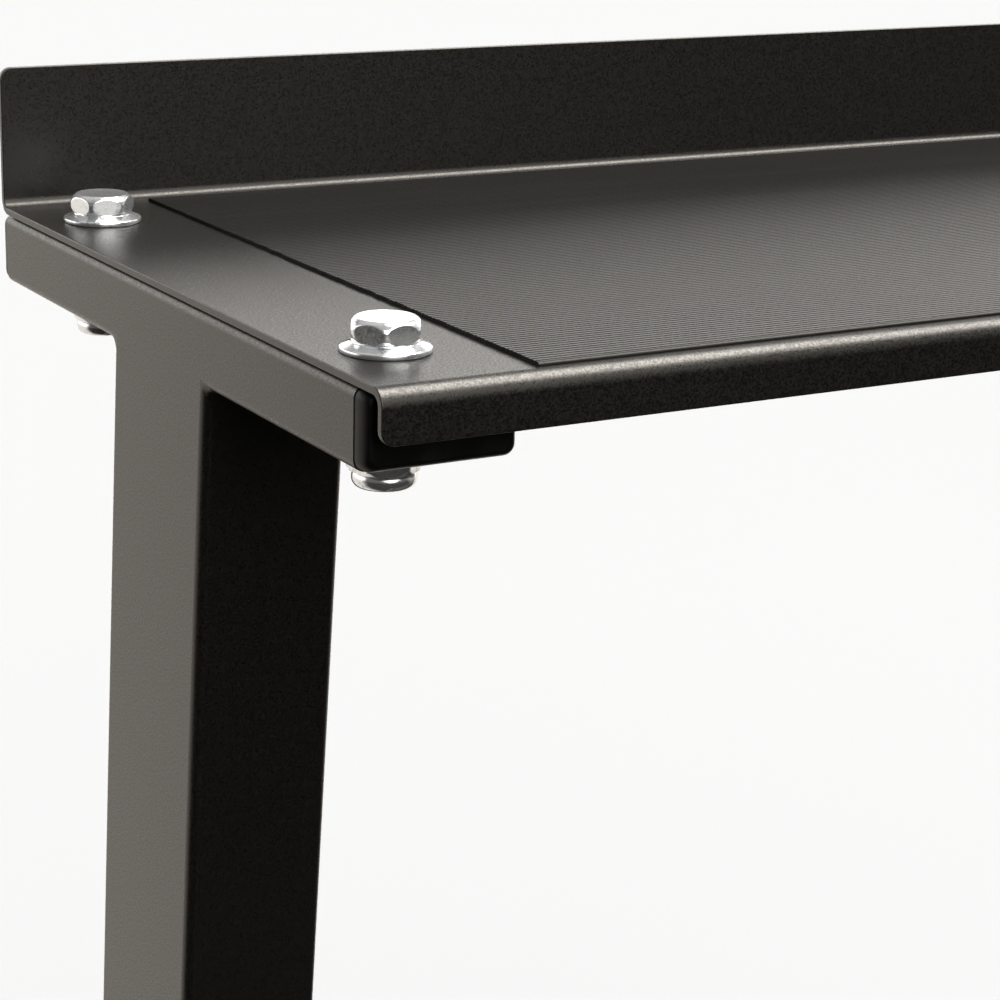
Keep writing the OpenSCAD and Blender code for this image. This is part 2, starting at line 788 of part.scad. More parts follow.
foot_stud(-pad_x, -pad_y);  // front_left_foot_stud
foot_pad(pad_x, -pad_y);  // front_right_foot_pad
foot_stud(pad_x, -pad_y);  // front_right_foot_stud
foot_pad(-pad_x, pad_y);  // rear_left_foot_pad
foot_stud(-pad_x, pad_y);  // rear_left_foot_stud
foot_pad(pad_x, pad_y);  // rear_right_foot_pad
foot_stud(pad_x, pad_y);  // rear_right_foot_stud
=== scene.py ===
"""Looks for the steel computer desk: upper shelf, worktop, side frames and sliding keyboard tray.

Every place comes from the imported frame. Lengths are in metres, and MM turns millimetres into them.
"""

import math

import bmesh
import bpy
import numpy as np
from mathutils import Matrix, Vector, noise


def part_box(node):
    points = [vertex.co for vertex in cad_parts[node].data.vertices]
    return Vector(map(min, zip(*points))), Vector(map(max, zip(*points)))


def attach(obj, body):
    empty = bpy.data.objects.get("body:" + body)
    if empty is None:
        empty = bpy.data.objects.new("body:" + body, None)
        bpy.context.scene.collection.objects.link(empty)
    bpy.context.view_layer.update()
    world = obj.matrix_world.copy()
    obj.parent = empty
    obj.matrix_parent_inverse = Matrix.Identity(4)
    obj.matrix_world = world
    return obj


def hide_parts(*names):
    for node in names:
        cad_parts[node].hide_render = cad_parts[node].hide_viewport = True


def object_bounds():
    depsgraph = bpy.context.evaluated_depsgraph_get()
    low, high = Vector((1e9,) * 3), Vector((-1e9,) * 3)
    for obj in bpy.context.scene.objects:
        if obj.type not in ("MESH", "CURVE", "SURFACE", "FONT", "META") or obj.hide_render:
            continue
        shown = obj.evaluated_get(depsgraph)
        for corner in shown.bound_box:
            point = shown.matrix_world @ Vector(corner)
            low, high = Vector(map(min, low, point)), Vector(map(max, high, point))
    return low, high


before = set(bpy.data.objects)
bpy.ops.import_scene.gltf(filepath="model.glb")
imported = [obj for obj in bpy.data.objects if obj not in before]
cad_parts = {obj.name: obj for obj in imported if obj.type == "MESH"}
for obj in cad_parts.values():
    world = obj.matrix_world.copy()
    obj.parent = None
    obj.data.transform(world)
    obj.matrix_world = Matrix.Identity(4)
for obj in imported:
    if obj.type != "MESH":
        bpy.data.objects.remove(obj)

cad_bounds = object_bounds()
MM = 0.001

# Sizes of the design that a node's box doesn't give
POST_RAKE = math.radians(5.5)
TUBE_R = 3 * MM
TUBE_WALL = 2 * MM
BEND_R = 2.5 * MM
SHEET_CORNER = 3.5 * MM
SHEET_EDGE = 0.35 * MM
RIB_PITCH = 1.85 * MM
RIB_HEIGHT = 0.35 * MM
M10_FLATS, M10_R, M10_HEAD = 16 * MM, 5 * MM, 8 * MM
M8_FLATS, M8_R, M8_HEAD, M8_FLANGE_R = 13 * MM, 4 * MM, 7 * MM, 8.5 * MM
M4_FLATS, M4_R, M4_HEAD = 7 * MM, 2 * MM, 1.8 * MM

# Rubber mats: (place across a rib, depth below its crown), in rib pitches and rib heights
RIB_PROFILE = ((0.0, 1.0), (0.06, 1.0), (0.13, 0.12), (0.22, 0.02),
               (0.5, 0.0), (0.78, 0.02), (0.87, 0.12), (0.94, 1.0))
MAT_EDGE = ((0.0, 1.9), (0.08, 1.2), (0.22, 0.4), (0.43, 0.08))

# Degrees that the deck bolts ended up at when they were tightened
BOLT_TURNS = (2, 48, 24, 39)

# Edges sharper than this are bevelled, or stay hard where a piece has no bevel
SHARP = math.radians(40)
UP = Vector((0, 0, 1))

# Tint of the reflections on powder coat and rubber
WARM = (1.0, 0.96, 0.90, 1)

# Studio: levels of the light by direction, each source as (direction, full inside, none outside, level)
BACK_LOW, BACK_HIGH = 1.06, 2.6
AMBIENT_LOW, AMBIENT_HIGH = 0.015, 0.12
SOURCES = (
    ((0.45, -0.08, 0.89), 10, 27, 18.0),
    ((0.0, 0.0, 1.0), 20, 60, 0.25),
    ((-0.03, -0.86, 0.50), 14, 34, 4.5),
    ((1.0, 0.10, 0.25), 10, 45, 0.5),
)
BACKDROP = (0.955, 0.955, 0.955)
FLOOR_TONE = (0.334, 0.341, 0.357)
FLOOR_SIZE = 40

# Camera: place from the shelf deck's low corner and its top face, turns in degrees, lens in mm
CAMERA_PLACE = (-0.25422, -0.48875, 0.139)
AZIMUTH, ELEVATION, ROLL = 30.178, 16.485, 1.418
LENS, SENSOR = 95.07, 36

# Sheet thickness, read from the shelf: its mat lies on the top face, its arms carry the bottom one
SHEET_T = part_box("shelf_mat")[0].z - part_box("left_shelf_arm")[1].z
BEND_OUT = BEND_R + SHEET_T


# ---------------- mesh tools

def solids(node):
    """(lowest, highest) corner of each separate solid in a CAD node, in order of X, Y and Z."""
    bm = bmesh.new()
    bm.from_mesh(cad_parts[node].data)
    bmesh.ops.remove_doubles(bm, verts=bm.verts, dist=1e-6)
    left = set(bm.verts)
    found = []
    while left:
        start = left.pop()
        group, front = [start.co], [start]
        while front:
            for edge in front.pop().link_edges:
                for vert in edge.verts:
                    if vert in left:
                        left.discard(vert)
                        group.append(vert.co)
                        front.append(vert)
        low = Vector([min(co[i] for co in group) for i in range(3)])
        high = Vector([max(co[i] for co in group) for i in range(3)])
        found.append((low, high))
    bm.free()
    return sorted(found, key=lambda box: [round(value, 4) for value in box[0] + box[1]])


def middle(box):
    return (box[0] + box[1]) / 2


def add_grid(bm, rows, closed=False, cap=False):
    """Quads between rows of points. closed joins each row's end to its start, cap fills the end rows."""
    verts = [[bm.verts.new(point) for point in row] for row in rows]
    count = len(rows[0])
    faces = []
    for a, b in zip(verts, verts[1:]):
        for i in range(count if closed else count - 1):
            j = (i + 1) % count
            faces.append(bm.faces.new((a[i], a[j], b[j], b[i])))
    if cap:
        faces.append(bm.faces.new(verts[0][::-1]))
        faces.append(bm.faces.new(verts[-1]))
    return faces


def ring(step):
    """Angles all the way round, step degrees apart."""
    return np.radians(np.arange(0, 360, step))


def rounded_rect(w, h, r, steps=7):
    """Outline points of a rectangle with round corners, counter-clockwise about the origin."""
    points = []
    for k, (sx, sy) in enumerate(((1, 1), (-1, 1), (-1, -1), (1, -1))):
        for i in range(steps + 1):
            angle = math.radians(90 * (k + i / steps))
            points.append((sx * (w / 2 - r) + r * math.cos(angle),
                           sy * (h / 2 - r) + r * math.sin(angle)))
    return points


def arc(cx, cy, r, start, end, steps=12):
    """Points on an arc, angles in degrees."""
    angles = [math.radians(start + (end - start) * i / steps) for i in range(steps + 1)]
    return [(cx + r * math.cos(a), cy + r * math.sin(a)) for a in angles]


def rounded_edge(u0, u1, r):
    """Free edge of a sheet with round corners, from u0 to u1, as (u, way in from the edge)."""
    angles = [math.radians(90 - 15 * k) for k in range(7)]
    turn = [(r * (1 - math.sin(a)), r * (1 - math.cos(a))) for a in angles]
    return [(u0 + du, inward) for du, inward in turn] + [(u1 - du, inward) for du, inward in turn[::-1]]


def make_piece(name, bm, material, body, nodes=(), bevel=0.0, solidify=0.0):
    """Turns a bmesh into a finished piece with applied modifiers, true normals and its body."""
    mesh = bpy.data.meshes.new(name)
    if not solidify:
        bmesh.ops.recalc_face_normals(bm, faces=bm.faces)
    bm.to_mesh(mesh)
    bm.free()
    obj = bpy.data.objects.new(name, mesh)
    bpy.context.scene.collection.objects.link(obj)
    for each in material if isinstance(material, (list, tuple)) else [material]:
        mesh.materials.append(each)
    if solidify:
        thicken = obj.modifiers.new("thickness", "SOLIDIFY")
        thicken.thickness = solidify
        thicken.offset = -1
        thicken.use_even_offset = True
    if bevel:
        edges = obj.modifiers.new("edges", "BEVEL")
        edges.width = bevel
        edges.segments = 3
        edges.limit_method = "ANGLE"
        edges.angle_limit = SHARP
        edges.use_clamp_overlap = False
    weighted = obj.modifiers.new("normals", "WEIGHTED_NORMAL")
    weighted.keep_sharp = True
    weighted.weight = 100
    for polygon in mesh.polygons:
        polygon.use_smooth = True
    if not bevel:
        mesh.set_sharp_from_angle(angle=SHARP)
    depsgraph = bpy.context.evaluated_depsgraph_get()
    final = bpy.data.meshes.new_from_object(obj.evaluated_get(depsgraph))
    obj.modifiers.clear()
    obj.data = final
    bpy.data.meshes.remove(mesh)
    final.name = name
    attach(obj, body)
    if nodes:
        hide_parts(*nodes)
    return obj


def coated(name, bm, nodes, body="frame", bevel=0.0, solidify=0.0):
    """Finishes a piece of powder-coated steel."""
    return make_piece(name, bm, COAT, body, nodes, bevel, solidify)


# ---------------- shader tools
# They take the material, or the world, that gets the nodes.

def new_material(name, base, roughness, metallic=0.0):
    """(material, its Principled shader, object coordinates)."""
    material = bpy.data.materials.new(name)
    material.use_nodes = True
    shader = material.node_tree.nodes["Principled BSDF"]
    shader.inputs["Base Color"].default_value = (*base, 1)
    shader.inputs["Roughness"].default_value = roughness
    shader.inputs["Metallic"].default_value = metallic
    coords = material.node_tree.nodes.new("ShaderNodeTexCoord")
    return material, shader, coords.outputs["Object"]


def add_noise(material, coords, scale, detail=2.0, stretch=(1, 1, 1), roughness=0.5):
    """Noise in object space: scale is in cycles a metre, and stretch scales the axes."""
    tree = material.node_tree
    mapping = tree.nodes.new("ShaderNodeMapping")
    mapping.inputs["Scale"].default_value = stretch
    tree.links.new(coords, mapping.inputs["Vector"])
    texture = tree.nodes.new("ShaderNodeTexNoise")
    texture.inputs["Scale"].default_value = scale
    texture.inputs["Detail"].default_value = detail
    texture.inputs["Roughness"].default_value = roughness
    tree.links.new(mapping.outputs["Vector"], texture.inputs["Vector"])
    return texture.outputs["Fac"]


def add_map(material, value, low, high, to_low, to_high):
    """Maps value smoothly from low..high to to_low..to_high, clamped."""
    tree = material.node_tree
    node = tree.nodes.new("ShaderNodeMapRange")
    node.interpolation_type = "SMOOTHSTEP"
    for name, number in zip(("From Min", "From Max", "To Min", "To Max"), (low, high, to_low, to_high)):
        node.inputs[name].default_value = number
    tree.links.new(value, node.inputs["Value"])
    return node.outputs["Result"]


def add_mix(material, factor, a, b):
    """Colour between a and b by factor. a and b are colours or sockets."""
    tree = material.node_tree
    node = tree.nodes.new("ShaderNodeMix")
    node.data_type = "RGBA"
    tree.links.new(factor, node.inputs["Factor"])
    for value, socket in ((a, node.inputs[6]), (b, node.inputs[7])):
        if isinstance(value, tuple):
            socket.default_value = (*value, 1)
        else:
            tree.links.new(value, socket)
    return node.outputs[2]


def add_bump(material, height, strength, distance, before=None):
    tree = material.node_tree
    node = tree.nodes.new("ShaderNodeBump")
    node.inputs["Strength"].default_value = strength
    node.inputs["Distance"].default_value = distance
    tree.links.new(height, node.inputs["Height"])
    if before is not None:
        tree.links.new(before, node.inputs["Normal"])
    return node.outputs["Normal"]


def connect(material, value, shader, socket):
    material.node_tree.links.new(value, shader.inputs[socket])


def powder_coat():
    """Satin black powder coat: a fine orange peel with a finer grain in it, and small lighter specks."""
    material, shader, coords = new_material("powder_coat_black", (0.006, 0.006, 0.006), 0.4)
    shader.inputs["Specular Tint"].default_value = WARM
    peel = add_noise(material, coords, 1900, 2)
    grain = add_noise(material, coords, 4200, 3, roughness=0.65)
    patches = add_noise(material, coords, 14, 3)
    specks = add_map(material, grain, 0.66, 0.80, 0, 1)
    tone = add_mix(material, patches, (0.0018, 0.0018, 0.0017), (0.0032, 0.0031, 0.0029))
    connect(material, add_mix(material, specks, tone, (0.009, 0.0087, 0.0082)), shader, "Base Color")
    rough = add_map(material, peel, 0.3, 0.7, 0.27, 0.47)
    connect(material, rough, shader, "Roughness")
    peel_normal = add_bump(material, peel, 0.8, 0.04 * MM)
    connect(material, add_bump(material, grain, 0.8, 0.02 * MM, peel_normal), shader, "Normal")
    return material


def rubber():
    """Ribbed rubber mat: dull black with a dusty bloom."""
    material, shader, coords = new_material("rubber_ribbed", (0.008, 0.0078, 0.0074), 0.36)
    shader.inputs["Specular Tint"].default_value = WARM
    shader.inputs["Specular IOR Level"].default_value = 0.14
    bloom = add_noise(material, coords, 9, 4)
    grain = add_noise(material, coords, 2200, 3, roughness=0.6)
    streaks = add_noise(material, coords, 60, 2, stretch=(0.12, 6, 6))
    tone = add_mix(material, bloom, (0.005, 0.0049, 0.0047), (0.010, 0.0097, 0.0092))
    lifted = add_map(material, streaks, 0.45, 0.75, 0, 0.6)
    connect(material, add_mix(material, lifted, tone, (0.014, 0.0135, 0.0125)), shader, "Base Color")
    connect(material, add_map(material, grain, 0.3, 0.7, 0.28, 0.42), shader, "Roughness")
    connect(material, add_bump(material, grain, 0.5, 0.03 * MM), shader, "Normal")
    return material


def dead_black_rubber_and_painted_shade():
    """The mats' cut edges, dead black and crumbly, their darkness partly painted shade; the same dead
    black on the groove faces is painted shade.
    """
    material, shader, coords = new_material("black_rubber_edges_and_painted_groove_shade", (0.003, 0.003, 0.003), 0.85)
    shader.inputs["Specular IOR Level"].default_value = 0.2
    crumbs = add_noise(material, coords, 1500, 4, roughness=0.7)
    tone = add_mix(material, crumbs, (0.002, 0.002, 0.002), (0.006, 0.0058, 0.0055))
    connect(material, tone, shader, "Base Color")
    connect(material, add_bump(material, crumbs, 0.8, 0.12 * MM), shader, "Normal")
    return material


def zinc(name, low_rough, high_rough, tint):
    """Zinc plate: bright, slightly blue, with dull spots and small dents in it."""
    material, shader, coords = new_material(name, tint, low_rough, 0.88)
    spots = add_noise(material, coords, 420, 4, roughness=0.65)
    grain = add_noise(material, coords, 1700, 3, roughness=0.6)
    dull = add_map(material, spots, 0.52, 0.72, 0, 1)
    dark = tuple(channel * 0.55 for channel in tint)
    connect(material, add_mix(material, dull, tint, dark), shader, "Base Color")
    connect(material, add_map(material, grain, 0.3, 0.7, low_rough, high_rough), shader, "Roughness")
    dents = add_bump(material, spots, 0.25, 0.10 * MM)
    connect(material, add_bump(material, grain, 0.35, 0.03 * MM, dents), shader, "Normal")
    return material


def brushed_steel():
    """Rolled slide steel with faint lines along the travel."""
    material, shader, coords = new_material("slide_steel", (0.56, 0.57, 0.58), 0.3, 1.0)
    lines = add_noise(material, coords, 900, 2, stretch=(1, 0.02, 1))
    stains = add_noise(material, coords, 40, 3)
    tone = add_mix(material, stains, (0.46, 0.47, 0.48), (0.62, 0.63, 0.64))
    connect(material, tone, shader, "Base Color")
    connect(material, add_map(material, lines, 0.3, 0.7, 0.22, 0.4), shader, "Roughness")
    connect(material, add_bump(material, lines, 0.3, 0.02 * MM), shader, "Normal")
    return material


def plastic(name, base, roughness, grain_scale, grain_depth, shine=0.5):
    """Moulded black plastic with a fine spark-eroded grain."""
    material, shader, coords = new_material(name, base, roughness)
    shader.inputs["Specular IOR Level"].default_value = shine
    grain = add_noise(material, coords, grain_scale, 3, roughness=0.6)
    haze = add_noise(material, coords, 120, 2)
    light = tuple(channel * 1.7 for channel in base)
    connect(material, add_mix(material, haze, base, light), shader, "Base Color")
    rough = add_map(material, haze, 0.3, 0.7, roughness - 0.05, roughness + 0.08)
    connect(material, rough, shader, "Roughness")
    connect(material, add_bump(material, grain, 0.5, grain_depth), shader, "Normal")
    return material


COAT = powder_coat()
RUBBER = rubber()
# Dead black rubber: the mats' cut edges, partly painted shade, and painted shade in the mats' grooves
RUBBER_EDGES_AND_PAINTED_SHADE = dead_black_rubber_and_painted_shade()
ZINC = zinc("bright_zinc", 0.10, 0.24, (0.72, 0.74, 0.765))
PLAIN_ZINC = zinc("plain_zinc", 0.22, 0.42, (0.60, 0.61, 0.62))
STEEL = brushed_steel()
RETAINER = zinc("ball_retainer", 0.25, 0.40, (0.66, 0.55, 0.32))
CAP_PLASTIC = plastic("end_cap_plastic", (0.0015, 0.0015, 0.0015), 0.38, 1800, 0.03 * MM, 0.2)
FOOT_PLASTIC = plastic("foot_plastic", (0.008, 0.008, 0.009), 0.42, 1200, 0.05 * MM)
BUMPER = plastic("bumper_rubber", (0.010, 0.010, 0.010), 0.65, 900, 0.08 * MM)


# ---------------- tubes, caps and welds

def add_tube(bm, place, w, h, ends):
    """Hollow tube: place(x, y, end) puts a point of the section at one of its ends."""
    outer = rounded_rect(w, h, TUBE_R)
    inner = rounded_rect(w - 2 * TUBE_WALL, h - 2 * TUBE_WALL, TUBE_R - TUBE_WALL + 0.2 * MM)
    rows = [[place(x, y, end) for x, y in outline] for outline, end in
            ((outer, ends[0]), (outer, ends[1]), (inner, ends[1]), (inner, ends[0]), (outer, ends[0]))]
    add_grid(bm, rows, closed=True)
    bmesh.ops.remove_doubles(bm, verts=bm.verts, dist=1e-7)


def straight_tube(node, axis):
    """Tube that fills a CAD node's box, along Y or X."""
    low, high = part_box(node)
    centre, size = middle((low, high)), high - low
    bm = bmesh.new()
    if axis == "y":
        add_tube(bm, lambda x, z, y: Vector((centre.x + x, y, centre.z + z)),
                 size.x, size.z, (low.y, high.y))
    else:
        add_tube(bm, lambda y, z, x: Vector((x, centre.y + y, centre.z + z)),
                 size.y, size.z, (low.x, high.x))
    return coated(node + "_tube", bm, [node])


def post_middle(side, z):
    """Y of a post's middle at height z, and the post's depth."""
    low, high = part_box(side + "_post")
    rise = math.tan(POST_RAKE)
    depth = high.y - low.y - (high.z - low.z) * rise
    return high.y - depth / 2 - (z - low.z) * rise, depth


def raked_post(side):
    """The post runs on into the round edges of the arm and the foot bar, as its ground welds do."""
    low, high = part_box(side + "_post")
    x = (low.x + high.x) / 2
    depth = post_middle(side, low.z)[1]
    bm = bmesh.new()

    def place(px, py, z):
        return Vector((x + px, post_middle(side, z)[0] + py, z))

    add_tube(bm, place, high.x - low.x, depth, (low.z - TUBE_R, high.z + TUBE_R))
    return coated(side + "_post_tube", bm, [side + "_post"])


def add_cap(bm, box, tube_end, outward):
    """End cap: a head with a soft edge outside the tube, and a plug in it."""
    depth, inset_by, steps = 4.4 * MM, 2.2 * MM, 9
    draft, plug_r = 0.3 * MM, 1 * MM
    centre, size = middle(box), box[1] - box[0]
    face = box[1].y if outward > 0 else box[0].y

    def row(y, w, h, r):
        return [Vector((centre.x + px, y, centre.z + pz)) for px, pz in rounded_rect(w, h, r, 6)]

    plug = box[0].y if outward > 0 else box[1].y
    inside = 2 * (TUBE_WALL + 0.2 * MM)
    rows = [row(plug, size.x - inside - draft, size.z - inside - draft, plug_r),
            row(tube_end, size.x - inside, size.z - inside, plug_r),
            row(tube_end, size.x, size.z, TUBE_R)]
    for i in range(steps + 1):
        angle = math.radians(90 * i / steps)
        inset = inset_by * (1 - math.cos(angle))
        y = face - outward * depth * (1 - math.sin(angle))
        rows.append(row(y, size.x - 2 * inset, size.z - 2 * inset, TUBE_R - inset * 0.5))
    add_grid(bm, rows, closed=True, cap=True)


def end_caps(node, tubes):
    """The caps of one node, on the ends of these tubes."""
    bm = bmesh.new()
    for box in solids(node):
        tube = min((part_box(name) for name in tubes), key=lambda t: abs(middle(t).x - middle(box).x))
        outward = 1 if middle(box).y > middle(tube).y else -1
        add_cap(bm, box, tube[1].y if outward > 0 else tube[0].y, outward)
    return make_piece(node + "_moulded", bm, CAP_PLASTIC, "frame", [node])


def add_fillet(bm, x0, x1, corner, y_way, z_way, leg_y, leg_z, seed):
    """Concave fillet weld along X in a corner. It thins out over the tubes' round edges at both ends."""
    stations, arc_steps, hidden = 44, 7, 0.05 * MM
    x0, x1 = x0 + hidden, x1 - hidden
    rows = []
    for i in range(stations + 1):
        x = x0 + (x1 - x0) * i / stations
        edge = min(abs(x - x0) + hidden, abs(x1 - x) + hidden, TUBE_R)
        inset = TUBE_R - math.sqrt(max(TUBE_R ** 2 - (TUBE_R - edge) ** 2, 0))
        fade = 1 - 0.30 * (1 - edge / TUBE_R) ** 2
        wobble = 1 + 0.10 * noise.noise(Vector((x * 420, seed, 0)))
        y_leg, z_leg = leg_y * fade * wobble, leg_z * fade * wobble
        sunk = inset + 0.6 * MM
        inner_y, inner_z = corner.y - y_way * sunk, corner.z - z_way * sunk
        row = [Vector((x, inner_y, inner_z)), Vector((x, corner.y + y_way * y_leg, inner_z))]
        for k in range(arc_steps + 1):
            angle = math.radians(90 * k / arc_steps)
            row.append(Vector((x, corner.y + y_way * (y_leg - (y_leg + inset) * math.sin(angle)),
                               corner.z + z_way * ((z_leg + inset) * (1 - math.cos(angle)) - inset))))
        row.append(Vector((x, inner_y, corner.z + z_way * z_leg)))
        rows.append(row)
    add_grid(bm, rows, closed=True, cap=True)


def add_bead(bm, start, end, radius, seed):
    """Convex weld bead from start to end, with the ripples of a welded seam."""
    along = end - start
    length = along.length
    axis = along.normalized()
    side = axis.orthogonal().normalized()
    up = axis.cross(side)
    ripple, count = 1.9 * MM, 10
    stations = max(8, round(length / (0.45 * MM)))
    rows = []
    for i in range(stations + 1):
        t = i / stations
        distance = t * length
        taper = math.sqrt(max(1 - (2 * t - 1) ** 16, 0.02))
        wave = 1 + 0.10 * abs(math.sin(math.pi * distance / ripple)) + 0.10 * noise.noise(
            Vector((distance * 300, seed, 3)))
        r = radius * taper * wave
        rows.append([start + axis * distance + (side * math.cos(a) + up * math.sin(a)) * r
                     for a in [2 * math.pi * k / count for k in range(count)]])
    add_grid(bm, rows, closed=True, cap=True)


def frame_welds():
    """Welds of both side frames: posts to arms, foot bars and bearers, and beams to their plates."""
    bm = bmesh.new()
    seed = 0
    for side in ("left", "right"):
        post_low, post_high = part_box(side + "_post")
        inner_x = post_high.x if side == "left" else post_low.x
        for z, z_way in ((post_high.z, -1), (post_low.z, 1)):
            y, depth = post_middle(side, z)
            for y_way, leg in ((1, 4.6 * MM), (-1, 1.6 * MM if z_way < 0 else 4.0 * MM)):
                seed += 1
                corner = Vector((0, y + y_way * depth / 2, z))
                add_fillet(bm, post_low.x, post_high.x, corner, y_way, z_way, leg, leg * 1.15, seed)
        bearer_low, bearer_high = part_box(side + "_worktop_bearer")
        for z in (bearer_low.z, bearer_high.z):
            y, depth = post_middle(side, z)
            seed += 1
            inward = 1 * MM if z == bearer_low.z else -1 * MM
            add_bead(bm, Vector((inner_x, y - depth / 2 + TUBE_R, z + inward)),
                     Vector((inner_x, y + depth / 2 - TUBE_R, z + inward)), 2.2 * MM, seed)
        for y_way in (-1, 1):
            seed += 1
            ends = []
            for z in (bearer_low.z + TUBE_R, bearer_high.z - TUBE_R):
                y, depth = post_middle(side, z)
                ends.append(Vector((inner_x, y + y_way * (depth / 2 - 1 * MM), z)))
            add_bead(bm, ends[0], ends[1], 2.2 * MM, seed)
    for node in ("upper_beam", "lower_beam"):
        low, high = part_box(node)
        for x in (low.x, high.x):
            for y0, z0, y1, z1 in ((low.y, low.z, high.y, low.z), (high.y, low.z, high.y, high.z),
                                   (high.y, high.z, low.y, high.z), (low.y, high.z, low.y, low.z)):
                seed += 1
                add_bead(bm, Vector((x, y0, z0)), Vector((x, y1, z1)), 2.4 * MM, seed)
    return coated("frame_welds", bm, ())


# ---------------- folded sheet metal

def add_sheet(bm, path, u0, u1, place, facing, start_corner=SHEET_CORNER, end_corner=SHEET_CORNER):
    """One face of a folded sheet: path runs across the folds from free edge to free edge, u along them.

    The first and last stretches have round corners. facing is the way the widest face looks.
    """
    rows = [[bm.verts.new(place(u, *point)) for u in (u0, u1)] for point in path[1:-1]]
    faces = [bm.faces.new((a[0], a[1], b[1], b[0])) for a, b in zip(rows, rows[1:])]
    for row, edge, fold, radius in ((rows[0], path[0], path[1], start_corner),
                                    (rows[-1], path[-1], path[-2], end_corner)):
        edge, fold = Vector(edge), Vector(fold)
        back = (fold - edge).normalized()
        rim = [bm.verts.new(place(u, *(edge + back * inward)))
               for u, inward in rounded_edge(u0, u1, radius)]
        faces.append(bm.faces.new([row[0]] + rim + [row[1]]))
    bmesh.ops.recalc_face_normals(bm, faces=faces)
    bm.normal_update()
    widest = max(faces, key=lambda face: face.calc_area())
    if widest.normal.dot(facing) < 0:
        bmesh.ops.reverse_faces(bm, faces=faces)


def deck_path(depth, drop, lip):
    """Top face of a deck as (y, z) points: front roll, bend, plate, bend and rear lip."""
    front = arc(BEND_OUT, -BEND_OUT, BEND_OUT, 180, 90, 14)
    rear = arc(depth - SHEET_T - BEND_R, BEND_R, BEND_R, -90, 0, 12)
    return [(0, -drop)] + front + rear + [(depth - SHEET_T, lip)]


def pressed_deck(node, mat_node, name):
    """The shelf's or the worktop's deck."""
    low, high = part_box(node)
    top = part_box(mat_node)[0].z
    bm = bmesh.new()
    add_sheet(bm, deck_path(high.y - low.y, top - low.z, high.z - top), low.x, high.x,
              lambda u, y, z: Vector((u, low.y + y, top + z)), UP)
    return coated(name, bm, [node], "frame", SHEET_EDGE, SHEET_T)


def tray():
    """The tray: a deck between two side flanges, with relief notches at the corners."""
    low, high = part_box("tray_deck")
    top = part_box("tray_mat")[0].z
    notch, front_strip, relief = BEND_OUT + 1 * MM, 10 * MM, 2 * MM
    rear_strip = BEND_OUT + 5 * MM
    lip = 20 * MM
    depth = high.y - low.y
    bm = bmesh.new()
    # Plate edges along Y where the notches and the side flanges start and end
    cuts = (front_strip, front_strip + relief, depth - rear_strip)
    path = deck_path(depth, top - low.z, lip)
    plate = max(i for i, (y, z) in enumerate(path) if 0 < y < depth / 2 and abs(z) < 1e-9) + 1
    folds = path[1:plate] + [(y, 0.0) for y in cuts] + path[plate:-1]
    half = (high.x - low.x) / 2
    core = half - notch

    def at(u, y, z):
        return bm.verts.new(Vector((u, low.y + y, top + z)))

    inner = [[at(u, y, z) for u in (-core, core)] for y, z in folds]
    faces = [bm.faces.new((a[0], a[1], b[1], b[0])) for a, b in zip(inner, inner[1:])]
    # Rear lip with round corners
    rim = [at(u, depth - SHEET_T, lip - inward) for u, inward in rounded_edge(-core, core, SHEET_CORNER)]
    faces.append(bm.faces.new([inner[-1][0]] + rim + [inner[-1][1]]))
    # Front roll over the full width: ears beside the core, then one face down to the free edge
    outer = [[at(-half, y, z), at(half, y, z)] for y, z in folds if y <= front_strip + 1e-9]
    for i in range(len(outer) - 1):
        faces.append(bm.faces.new((outer[i][0], inner[i][0], inner[i + 1][0], outer[i + 1][0])))
        faces.append(bm.faces.new((inner[i][1], outer[i][1], outer[i + 1][1], inner[i + 1][1])))
    rim = [at(u, 0, low.z - top + inward) for u, inward in rounded_edge(-half, half, SHEET_CORNER)]
    faces.append(bm.faces.new([outer[0][0]] + rim + [outer[0][1], inner[0][1], inner[0][0]]))
    # Side flanges, from the core's edges at the second and third cut
    rows = [i for i, (y, z) in enumerate(folds) if z == 0 and y in cuts[1:]]
    for way, column in ((-1, 0), (1, 1)):
        previous = [inner[i][column] for i in rows]
        for x, z in arc(half - SHEET_T - BEND_R, BEND_R, BEND_R, -90, 0, 12):
            current = [at(way * x, y, z) for y in cuts[1:]]
            faces.append(bm.faces.new((previous[0], current[0], current[1], previous[1])))
            previous = current
        rim = [at(way * (half - SHEET_T), y, high.z - top - inward)
               for y, inward in rounded_edge(cuts[1], cuts[2], SHEET_CORNER)]
        faces.append(bm.faces.new([previous[0]] + rim + [previous[1]]))
    bmesh.ops.recalc_face_normals(bm, faces=faces)
    bm.normal_update()
    if max(faces, key=lambda face: face.calc_area()).normal.z < 0:
        bmesh.ops.reverse_faces(bm, faces=faces)
    return coated("tray_deck_pressed", bm, ["tray_deck"], "tray", SHEET_EDGE, SHEET_T)


def hanger(side):
    """Angle bracket: bolted flange under the bearer, slide plate down its inner edge."""
    node = side + "_tray_hanger"
    low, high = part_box(node)
    thick = 2.5 * MM
    outer_r = BEND_R + thick
    way = 1 if side == "left" else -1
    width, height = high.x - low.x, high.z - low.z
    start = low.x if side == "left" else high.x
    path = [(0, height)] + arc(width - outer_r, height - outer_r, outer_r, 90, 0, 10) + [(width, 0)]
    bm = bmesh.new()
    add_sheet(bm, path, low.y, high.y, lambda y, x, z: Vector((start + way * x, y, low.z + z)),
              UP if width > height else Vector((way, 0, 0)))
    return coated(node + "_folded", bm, [node], "frame", SHEET_EDGE, thick)


